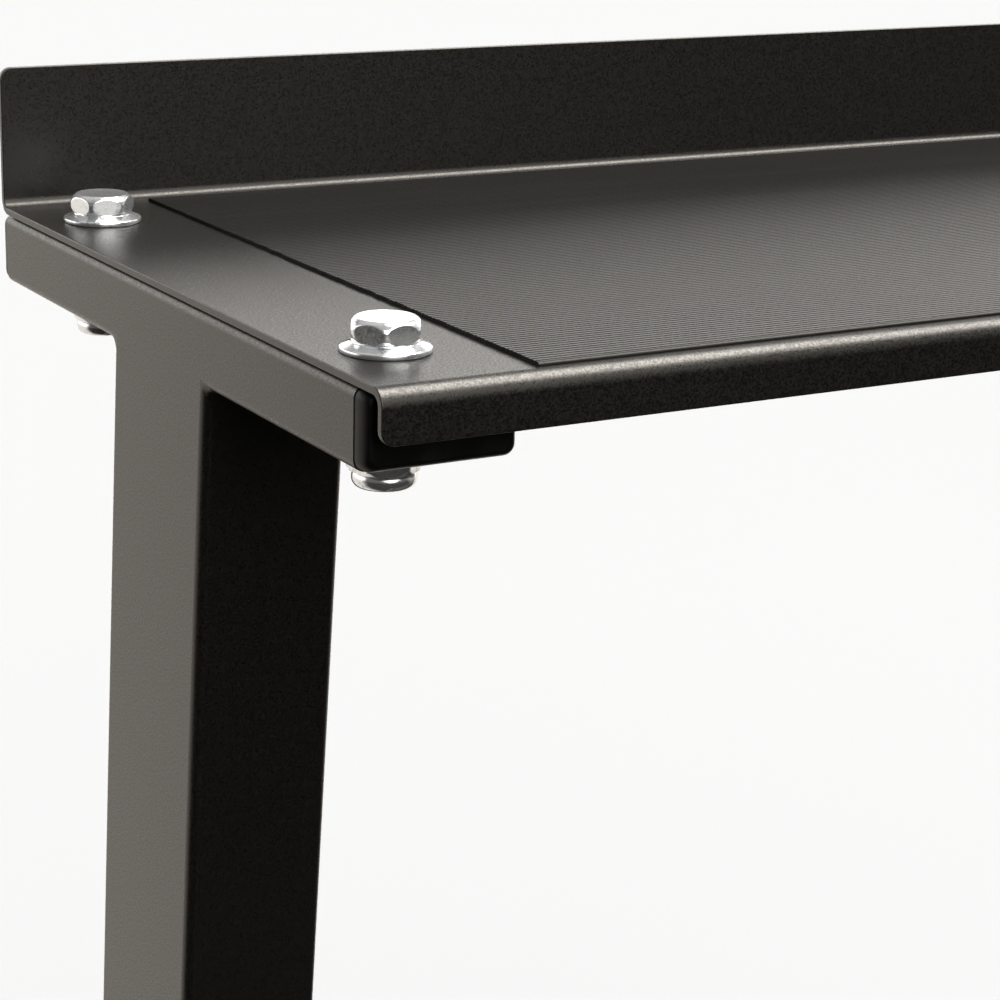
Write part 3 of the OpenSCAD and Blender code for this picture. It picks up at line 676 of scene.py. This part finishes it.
def rail(node, body, back_low):
    """Slide rail: a channel with curled flanges. back_low says its back is on the -X side."""
    low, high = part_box(node)
    thick, r, lean, corner = 1.2 * MM, 1.9 * MM, 0.3 * MM, 0.8 * MM
    depth, height = high.x - low.x, high.z - low.z
    back, way = (low.x, 1) if back_low else (high.x, -1)
    lower = arc(r, r, r, 270, 180, 8)
    upper = arc(r, height - r, r, 180, 90, 8)
    path = [(depth, lean), (depth * 0.55, 0.0)] + lower + upper
    path += [(depth * 0.55, height), (depth, height - lean)]
    bm = bmesh.new()
    add_sheet(bm, path, low.y, high.y, lambda y, x, z: Vector((back + way * x, y, low.z + z)),
              Vector((-way, 0, 0)), corner, corner)
    return make_piece(node + "_rolled", bm, STEEL, body, [node], 0.2 * MM, thick)


# ---------------- mats

def ribbed_mat(node, body):
    """Rubber mat with flat ribs along X and narrow grooves, its two cut ends slightly ragged. The groove
    faces and the cut sides are dead black, as painted shade in the grooves and partly painted shade on the
    sides.
    """
    low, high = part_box(node)
    lift = 0.02 * MM
    ribs = max(1, round((high.y - low.y) / RIB_PITCH))
    stations = [(rib + share, depth) for rib in range(ribs) for share, depth in RIB_PROFILE]
    stations = (list(MAT_EDGE) + stations[4:-4] +
                [(ribs - share, depth) for share, depth in reversed(MAT_EDGE)])
    count = len(stations) - 1
    bm = bmesh.new()
    top, bottom = [], []
    for i, (station, depth) in enumerate(stations):
        y = low.y + (high.y - low.y) * station / ribs
        z = high.z - RIB_HEIGHT * depth
        ragged = [0.55 * MM * noise.noise(Vector((y * 130, end * 7.3, 1))) +
                  0.12 * MM * noise.noise(Vector((y * 1100, end * 3.1, 5))) for end in (1, 2)]
        x0, x1 = low.x + abs(ragged[0]), high.x - abs(ragged[1])
        top.append([bm.verts.new((x, y, z)) for x in (x0, x1)])
        bottom.append([bm.verts.new((x, y, low.z + lift)) for x in (x0, x1)])
    for i in range(count):
        crown = bm.faces.new((top[i][0], top[i][1], top[i + 1][1], top[i + 1][0]))
        # Faces in a groove take the dead black material: painted shade in the grooves
        groove_gets_painted_shade = max(stations[i][1], stations[i + 1][1]) > 0.2
        crown.material_index = int(groove_gets_painted_shade and len(MAT_EDGE) <= i < count - len(MAT_EDGE))
        bm.faces.new((bottom[i][0], bottom[i + 1][0], bottom[i + 1][1], bottom[i][1]))
        # The cut sides are dead black, partly as painted shade
        for face in (bm.faces.new((top[i][0], top[i + 1][0], bottom[i + 1][0], bottom[i][0])),
                     bm.faces.new((top[i][1], bottom[i][1], bottom[i + 1][1], top[i + 1][1]))):
            face.material_index = 1
    for i in (0, count):
        bm.faces.new((top[i][0], bottom[i][0], bottom[i][1], top[i][1]))
    return make_piece(node + "_ribbed", bm, [RUBBER, RUBBER_EDGES_AND_PAINTED_SHADE], body, [node])


# ---------------- bolts, nuts and screws

def smooth_min(a, b, k):
    h = np.maximum(k - np.abs(a - b), 0) / k
    return np.minimum(a, b) - h * h * k / 4


def smooth_max(a, b, k):
    return -smooth_min(-a, -b, k)


def hex_radius(angles, across_flats, turn):
    """Distance from the axis to a hexagon's side at each angle; a corner is at turn degrees."""
    return across_flats / 2 / np.cos(np.mod(angles - math.radians(turn), math.pi / 3) - math.pi / 6)


def add_turned(bm, place, rows, angles):
    """Surface of rings about an axis: each row is (z, r), with r one number or one for each angle."""
    rings = []
    for z, r in rows:
        radii = np.broadcast_to(np.asarray(r, float), angles.shape)
        heights = np.broadcast_to(np.asarray(z, float), angles.shape)
        rings.append([place @ Vector((radius * math.cos(a), radius * math.sin(a), height))
                      for a, radius, height in zip(angles, radii, heights)])
    add_grid(bm, rings, closed=True, cap=True)


def bolt_rows(angles, turn, across_flats, flange_r, head_h):
    """Rings of a flange bolt's head: barrel-shaped body with six flats, blended into a coned flange."""
    s, h = across_flats / (16 * MM), head_h / (8 * MM)
    flats = hex_radius(angles, across_flats, turn)
    rows = [(0, flange_r - 0.5 * MM), (0.10 * MM, flange_r - 0.15 * MM), (0.35 * MM, flange_r),
            (0.95 * MM * h, flange_r), (1.2 * MM * h, flange_r - 0.07 * MM)]
    cone_z = np.array([1.32, 2.0, 2.35, 2.8, 3.3]) * MM * h
    reach = flange_r - across_flats / 2
    cone_r = across_flats / 2 + np.array([0.94, 0.38, 0.13, -0.04, -0.4]) * reach
    body_z = np.array([2.1, 2.6, 3.0, 3.8, 4.7, 5.7, 6.6, 7.35, 7.8, 8.0]) * MM * h
    body_r = np.array([7.7, 8.0, 8.40, 8.80, 8.93, 8.93, 8.62, 8.02, 7.45, 7.05]) * MM * s
    levels = list(np.linspace(1.32, 3.0, 12)) + list(np.linspace(3.15, 8.0, 34))
    for level in levels:
        z = level * MM * h
        body = smooth_min(flats, np.interp(z, body_z, body_r), 0.10 * MM)
        cone = np.interp(z, cone_z, cone_r) if z < cone_z[-1] else cone_r[-1]
        rows.append((z, smooth_max(body, cone, 0.35 * MM)))
    return rows + [(head_h + 0.02 * MM, 6.7 * MM * s), (head_h, 6.0 * MM * s),
                   (head_h - 0.10 * MM, 5.4 * MM * s), (head_h - 0.12 * MM, 2.5 * MM * s),
                   (head_h - 0.10 * MM, 0.4 * MM * s)]


def shank_rows(length, r):
    return [(-length, r - 1.0 * MM), (-length + 1.0 * MM, r), (-0.2 * MM, r), (0.3 * MM, r)]


def add_bolt(bm, place, turn, across_flats, flange_r, head_h, shank_r, length):
    angles = ring(2.5)
    add_turned(bm, place, bolt_rows(angles, turn, across_flats, flange_r, head_h), angles)
    add_turned(bm, place, shank_rows(length, shank_r), ring(12))


def add_nut(bm, place, turn, across_flats, flange_r, height, shank_r):
    """Flange lock nut: flange at z = 0, hexagon, then a round collar."""
    angles = ring(2.5)
    flats = hex_radius(angles, across_flats, turn)
    rows = [(0, flange_r - 0.4 * MM), (0.12 * MM, flange_r - 0.1 * MM), (0.4 * MM, flange_r),
            (1.0 * MM, flange_r), (1.3 * MM, flange_r - 0.15 * MM)]
    collar_r = across_flats / 2 - 0.3 * MM
    hex_top = height - 3.5 * MM
    cone_z = np.array([1.4, 2.2, 2.8]) * MM
    cone_r = [flange_r - 0.4 * MM, across_flats / 2 + 0.4 * MM, across_flats / 2 - 0.5 * MM]
    body_z = [1.4 * MM, hex_top - 1.5 * MM, hex_top - 0.5 * MM, hex_top]
    body_r = collar_r + np.array([1.2, 1.15, 0.5, -0.35]) * MM
    for z in np.linspace(1.45, 6.0, 24) * MM:
        cone = np.interp(z, cone_z, cone_r)
        body = smooth_min(flats, np.interp(z, body_z, body_r), 0.12 * MM)
        rows.append((z, smooth_max(body, cone, 0.35 * MM)))
        if z > hex_top - 0.1 * MM:
            break
    neck = rows[-1][0]
    bulge = height - neck
    for angle in np.radians(np.linspace(-55, 90, 16)):
        rows.append((neck + bulge * (0.45 + 0.55 * math.sin(angle)),
                     collar_r - 1.7 * MM + 1.7 * MM * math.cos(angle)))
    mouth = shank_r + 0.6 * MM
    rows += [(height - 0.1 * MM, mouth + 0.35 * MM), (height - 0.7 * MM, mouth),
             (height - 1.4 * MM, shank_r - 0.3 * MM), (height - 1.5 * MM, 0.4 * MM)]
    add_turned(bm, place, rows, angles)


def deck_bolts(node, name, rows_per_side):
    bm = bmesh.new()
    for i, (low, high) in enumerate(solids(node)):
        side, k = divmod(i, rows_per_side)
        turn = BOLT_TURNS[(2 * side + k) if rows_per_side == 2 else (k + side) % 4]
        seat = high.z - M10_HEAD
        place = Matrix.Translation(((low.x + high.x) / 2, (low.y + high.y) / 2, seat))
        add_bolt(bm, place, turn, M10_FLATS, (high.x - low.x) / 2, M10_HEAD, M10_R, seat - low.z)
    return make_piece(name, bm, ZINC, "frame", [node])


def deck_nuts(node, name, rows_per_side):
    bm = bmesh.new()
    for i, (low, high) in enumerate(solids(node)):
        side, k = divmod(i, rows_per_side)
        turn = BOLT_TURNS[(3 - 2 * side - k) if rows_per_side == 2 else (k + side + 1) % 4]
        place = Matrix.Translation(((low.x + high.x) / 2, (low.y + high.y) / 2, high.z))
        place = place @ Matrix.Rotation(math.pi, 4, "X")
        add_nut(bm, place, -turn, M10_FLATS, (high.x - low.x) / 2, high.z - low.z, M10_R)
    return make_piece(name, bm, ZINC, "frame", [node])


def beam_bolts():
    """Bolts through the end plates, their heads on the inner side."""
    bm = bmesh.new()
    for i, (low, high) in enumerate(solids("beam_bolts")):
        left = low.x < 0
        seat = high.x - M8_HEAD if left else low.x + M8_HEAD
        centre = middle((low, high))
        turn = Matrix.Rotation(math.pi / 2 if left else -math.pi / 2, 4, "Y")
        place = Matrix.Translation((seat, centre.y, centre.z)) @ turn
        length = seat - low.x if left else high.x - seat
        add_bolt(bm, place, 17 * i, M8_FLATS, M8_FLANGE_R, M8_HEAD, M8_R, length)
    return make_piece("beam_flange_bolts", bm, ZINC, "frame", ["beam_bolts"])


def add_pan_screw(bm, place, head_r, head_h, shank_r, length):
    """Low pan head with a cross recess, shank along -Z."""
    angles = ring(7.5)
    rows = [(0, head_r), (0.3 * MM, head_r)]
    for t in np.linspace(0.15, 1, 6):
        rows.append((head_h * (0.35 + 0.65 * math.sin(t * math.pi / 2)), head_r * (1 - 0.22 * t ** 2)))
    for share in (0.68, 0.60, 0.5, 0.4, 0.3, 0.2, 0.1, 0.03):
        r = share * head_r
        across = np.minimum(np.abs(np.sin(angles)), np.abs(np.cos(angles))) * r
        deep = np.clip((0.42 * MM - across) / (0.15 * MM), 0, 1) * np.clip((0.62 - share) / 0.12, 0, 1)
        rows.append((head_h - 0.9 * MM * deep * (1 - 0.5 * share), r))
    add_turned(bm, place, rows, angles)
    shank = [(-length, shank_r - 0.4 * MM), (-length + 0.4 * MM, shank_r), (0.1 * MM, shank_r)]
    add_turned(bm, place, shank, ring(15))


def slide_screws(node, body, inward):
    """Screws of the slides. inward says their heads face the middle of the desk."""
    bm = bmesh.new()
    for low, high in solids(node):
        head_on_high = (low.x < 0) == inward
        seat = high.x - M4_HEAD if head_on_high else low.x + M4_HEAD
        centre = middle((low, high))
        turn = Matrix.Rotation(math.pi / 2 if head_on_high else -math.pi / 2, 4, "Y")
        spin = Matrix.Rotation(centre.y * 40, 4, "Z")
        place = Matrix.Translation((seat, centre.y, centre.z)) @ turn @ spin
        length = seat - low.x if head_on_high else high.x - seat
        add_pan_screw(bm, place, (high.z - low.z) / 2, M4_HEAD, M4_R, length)
    return make_piece(node + "_pan_head", bm, PLAIN_ZINC, body, [node])


def slide_nuts(node, body):
    bm = bmesh.new()
    for i, (low, high) in enumerate(solids(node)):
        height = high.x - low.x
        angles = ring(5)
        flats = hex_radius(angles, M4_FLATS, 30 + 11 * i)
        rows = [(0, smooth_min(flats, 3.7 * MM, 0.1 * MM))]
        for z in np.linspace(0, 1, 9):
            chamfer = 3.72 * MM + 0.35 * MM * min(1, 6 * min(z, 1 - z))
            rows.append((z * height, smooth_min(flats, chamfer, 0.1 * MM)))
        rows += [(height, 2.5 * MM), (height - 0.3 * MM, 2.05 * MM), (height - 0.31 * MM, 0.3 * MM)]
        centre = middle((low, high))
        turn = Matrix.Rotation(math.pi / 2, 4, "Y")
        add_turned(bm, Matrix.Translation((low.x, centre.y, centre.z)) @ turn, rows, angles)
    return make_piece(node + "_hexagon", bm, PLAIN_ZINC, body, [node])


# ---------------- slides' balls, bumpers, plates, feet

def ball_strips(node, body, balls):
    """Retainer strips with their steel balls."""
    strips, spheres = bmesh.new(), bmesh.new()
    for low, high in solids(node):
        centre, size = middle((low, high)), high - low
        r = size.z / 2
        outline = rounded_rect(size.x, size.z / 2, 0.3 * MM, 3)
        rows = [[Vector((centre.x + x * k, y, centre.z + z * k)) for x, z in outline]
                for y, k in ((low.y, 0.8), (low.y + 0.4 * MM, 1), (high.y - 0.4 * MM, 1), (high.y, 0.8))]
        add_grid(strips, rows, closed=True, cap=True)
        for i in range(balls):
            place = Matrix.Translation((centre.x, low.y + (i + 0.5) * size.y / balls, centre.z))
            bmesh.ops.create_uvsphere(spheres, u_segments=20, v_segments=12, radius=r, matrix=place)
    make_piece(node + "_retainers", strips, RETAINER, body, [node])
    return make_piece(node + "_balls", spheres, ZINC, body, ())


def bumpers():
    bm = bmesh.new()
    for low, high in solids("slide_bumpers"):
        centre, size = middle((low, high)), high - low
        rows = []
        for share, inset in ((0, 1.0), (0.06, 0.3), (0.18, 0), (0.82, 0), (0.94, 0.3), (1, 1.0)):
            outline = rounded_rect(size.x - 2 * inset * MM, size.z - 2 * inset * MM, 1.5 * MM, 4)
            rows.append([Vector((centre.x + x, low.y + share * size.y, centre.z + z)) for x, z in outline])
        add_grid(bm, rows, closed=True, cap=True)
    return make_piece("slide_bumpers_rubber", bm, BUMPER, "frame", ["slide_bumpers"])


def end_plates():
    bm = bmesh.new()
    for low, high in solids("beam_end_plates"):
        centre, size = middle((low, high)), high - low
        outline = rounded_rect(size.y, size.z, 5 * MM, 8)
        rows = [[Vector((x, centre.y + y, centre.z + z)) for y, z in outline] for x in (low.x, high.x)]
        add_grid(bm, rows, closed=True, cap=True)
    return coated("beam_end_plates_coated", bm, ["beam_end_plates"], "frame", 0.5 * MM)


def foot(corner):
    """Levelling foot: moulded pad with a fluted rim, and a threaded stud."""
    body = corner + "_foot"
    low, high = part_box(body + "_pad")
    centre = middle((low, high))
    height, rim_r, hub_r = high.z - low.z, (high.x - low.x) / 2, 10 * MM
    angles = ring(3)
    flutes = 0.45 * MM * np.clip(np.cos(angles * 24), 0, 1)
    shoulder_r, shoulder_z = rim_r - 1.4 * MM, 5.1 * MM
    rows = [(0, rim_r - 2.5 * MM), (0.15 * MM, rim_r - 1.2 * MM),
            (1.0 * MM, rim_r - 0.2 * MM - flutes * 0.5), (1.4 * MM, rim_r - flutes),
            (4.2 * MM, rim_r - flutes), (4.8 * MM, rim_r - 0.5 * MM - flutes * 0.5),
            (shoulder_z, shoulder_r)]
    for t in np.linspace(0.1, 1, 8):
        rows.append((shoulder_z + 3.7 * MM * t ** 1.6,
                     shoulder_r + (hub_r + 0.9 * MM - shoulder_r) * t ** 0.8))
    rows += [(9.3 * MM, hub_r + 0.35 * MM), (10 * MM, hub_r), (height - 0.8 * MM, hub_r),
             (height - 0.2 * MM, hub_r - 0.25 * MM), (height, hub_r - 0.9 * MM), (height, 5.9 * MM),
             (height - 0.5 * MM, 5.2 * MM), (height - 6 * MM, 5.06 * MM), (height - 6 * MM, 0.4 * MM)]
    bm = bmesh.new()
    add_turned(bm, Matrix.Translation((centre.x, centre.y, low.z)), rows, angles)
    make_piece(body + "_pad_moulded", bm, FOOT_PLASTIC, body, [body + "_pad"])
    stud_low, stud_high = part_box(body + "_stud")
    r, length = (stud_high.x - stud_low.x) / 2, stud_high.z - stud_low.z
    pitch, thread = 1.5 * MM, 0.85 * MM
    angles = ring(10)
    rows = []
    for z in np.arange(0, length, pitch / 6):
        phase = np.mod(z / pitch - angles / (2 * math.pi), 1)
        ridge = np.clip(1.15 - 2.3 * np.abs(phase - 0.5), 0, 1)
        end = min(1.0, (length - z) / (1.2 * MM))
        rows.append((z, (r - thread) + thread * ridge * end - 0.9 * MM * (1 - end)))
    rows.append((length, r - 1.9 * MM))
    bm = bmesh.new()
    add_turned(bm, Matrix.Translation((centre.x, centre.y, stud_low.z)), rows, angles)
    return make_piece(body + "_stud_threaded", bm, ZINC, body, [body + "_stud"])


# ---------------- the desk

def build_desk():
    for side in ("left", "right"):
        raked_post(side)
        for node in ("_shelf_arm", "_worktop_bearer", "_foot_bar"):
            straight_tube(side + node, "y")
        hanger(side)
        left = side == "left"
        rail(side + "_outer_rail", "frame", left)
        rail(side + "_middle_rail", "middle_rails", left)
        rail(side + "_inner_rail", "tray", not left)
    for node in ("upper_beam", "lower_beam"):
        straight_tube(node, "x")
    end_plates()
    frame_welds()
    end_caps("shelf_arm_caps", ["left_shelf_arm", "right_shelf_arm"])
    end_caps("bearer_caps", ["left_worktop_bearer", "right_worktop_bearer"])
    end_caps("foot_bar_caps", ["left_foot_bar", "right_foot_bar"])
    pressed_deck("shelf_deck", "shelf_mat", "shelf_deck_pressed")
    pressed_deck("worktop_deck", "worktop_mat", "worktop_deck_pressed")
    tray()
    ribbed_mat("shelf_mat", "frame")
    ribbed_mat("worktop_mat", "frame")
    ribbed_mat("tray_mat", "tray")
    deck_bolts("shelf_bolts", "shelf_flange_bolts", 2)
    deck_bolts("worktop_bolts", "worktop_flange_bolts", 3)
    deck_nuts("shelf_lock_nuts", "shelf_flange_nuts", 2)
    deck_nuts("worktop_lock_nuts", "worktop_flange_nuts", 3)
    beam_bolts()
    slide_screws("rail_screws", "frame", True)
    slide_screws("tray_screws", "tray", False)
    slide_nuts("rail_nuts", "frame")
    slide_nuts("tray_nuts", "tray")
    bumpers()
    ball_strips("outer_ball_strips", "outer_balls", 9)
    ball_strips("inner_ball_strips", "inner_balls", 9)
    for corner in ("front_left", "front_right", "rear_left", "rear_right"):
        foot(corner)
    for node in ("beam_weld_nuts", "foot_bushes"):
        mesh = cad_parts[node].data
        mesh.materials.clear()
        mesh.materials.append(PLAIN_ZINC)


# ---------------- studio

def studio_world():
    """Soft light by direction, its sources seen by surfaces, and a plain backdrop seen by the camera."""
    world = bpy.data.worlds.new("studio")
    bpy.context.scene.world = world
    world.use_nodes = True
    nodes, links = world.node_tree.nodes, world.node_tree.links
    nodes.clear()
    coords = nodes.new("ShaderNodeTexCoord").outputs["Generated"]
    split = nodes.new("ShaderNodeSeparateXYZ")
    links.new(coords, split.inputs["Vector"])
    y, z = split.outputs["Y"], split.outputs["Z"]

    def math_node(kind, *values):
        node = nodes.new("ShaderNodeMath")
        node.operation = kind
        for socket, value in zip(node.inputs, values):
            links.new(value, socket)
        return node.outputs[0]

    def spot(direction, inner, outer, level):
        """Round source around a direction: angles in degrees, full inside inner, none outside outer."""
        node = nodes.new("ShaderNodeVectorMath")
        node.operation = "DOT_PRODUCT"
        links.new(coords, node.inputs[0])
        node.inputs[1].default_value = Vector(direction).normalized()
        none, full = (math.cos(math.radians(angle)) for angle in (outer, inner))
        return add_map(world, node.outputs["Value"], none, full, 0, level)

    behind = add_map(world, y, -0.05, 0.40, 0, 1)
    height = add_map(world, z, -0.15, 0.20, BACK_LOW, BACK_HIGH)
    fade = add_map(world, z, 0.33, 0.54, 1, 0.08)
    total = math_node("MULTIPLY", math_node("MULTIPLY", behind, height), fade)
    for source in SOURCES:
        total = math_node("ADD", total, spot(*source))
    total = math_node("ADD", total, add_map(world, z, -0.1, 0.1, AMBIENT_LOW, AMBIENT_HIGH))
    upward = add_map(world, z, -0.15, 0.10, 0, 1)
    light = nodes.new("ShaderNodeBackground")
    links.new(add_mix(world, upward, (1.0, 0.93, 0.84), (1.0, 0.972, 0.928)), light.inputs["Color"])
    links.new(total, light.inputs["Strength"])
    plain = nodes.new("ShaderNodeBackground")
    plain.inputs["Color"].default_value = (*BACKDROP, 1)
    seen = nodes.new("ShaderNodeLightPath")
    mix = nodes.new("ShaderNodeMixShader")
    links.new(seen.outputs["Is Camera Ray"], mix.inputs["Fac"])
    links.new(light.outputs["Background"], mix.inputs[1])
    links.new(plain.outputs["Background"], mix.inputs[2])
    output = nodes.new("ShaderNodeOutputWorld")
    links.new(mix.outputs["Shader"], output.inputs["Surface"])


def floor():
    """Floor that only the camera sees: it casts no light or shadow on the desk."""
    bm = bmesh.new()
    ends = (-FLOOR_SIZE, FLOOR_SIZE)
    add_grid(bm, [[Vector((x, y, 0)) for x in ends] for y in ends])
    mesh = bpy.data.meshes.new("studio_floor")
    bm.to_mesh(mesh)
    bm.free()
    obj = bpy.data.objects.new("studio_floor", mesh)
    bpy.context.scene.collection.objects.link(obj)
    obj.location.z = cad_bounds[0][2]
    material, shader, coords = new_material("studio_floor", FLOOR_TONE, 0.9)
    shader.inputs["Specular IOR Level"].default_value = 0.0
    cloud = add_noise(material, coords, 0.6, 2)
    darker = tuple(channel * 0.985 for channel in FLOOR_TONE)
    connect(material, add_mix(material, cloud, FLOOR_TONE, darker), shader, "Base Color")
    mesh.materials.append(material)
    obj.visible_glossy = False
    obj.visible_diffuse = False
    obj.visible_shadow = False


def camera():
    """Close view of the shelf's left end, from the front left and slightly above."""
    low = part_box("shelf_deck")[0]
    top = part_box("shelf_mat")[0].z
    place = Vector((low.x, low.y, top)) + Vector(CAMERA_PLACE)
    azimuth, elevation, roll = (math.radians(angle) for angle in (AZIMUTH, ELEVATION, ROLL))
    forward = Vector((math.sin(azimuth) * math.cos(elevation),
                      math.cos(azimuth) * math.cos(elevation), -math.sin(elevation)))
    level = Vector((math.cos(azimuth), -math.sin(azimuth), 0))
    down = forward.cross(level)
    right = level * math.cos(roll) - down * math.sin(roll)
    down = level * math.sin(roll) + down * math.cos(roll)
    data = bpy.data.cameras.new("camera")
    data.lens = LENS
    data.sensor_width = SENSOR
    data.clip_start = 0.02
    data.clip_end = 200
    obj = bpy.data.objects.new("camera", data)
    bpy.context.scene.collection.objects.link(obj)
    turn = Matrix((right, -down, -forward)).transposed().to_4x4()
    obj.matrix_world = Matrix.Translation(place) @ turn
    bpy.context.scene.camera = obj


build_desk()
studio_world()
floor()
camera()
bpy.context.scene.view_settings.view_transform = "Standard"
bpy.context.scene.view_settings.look = "None"
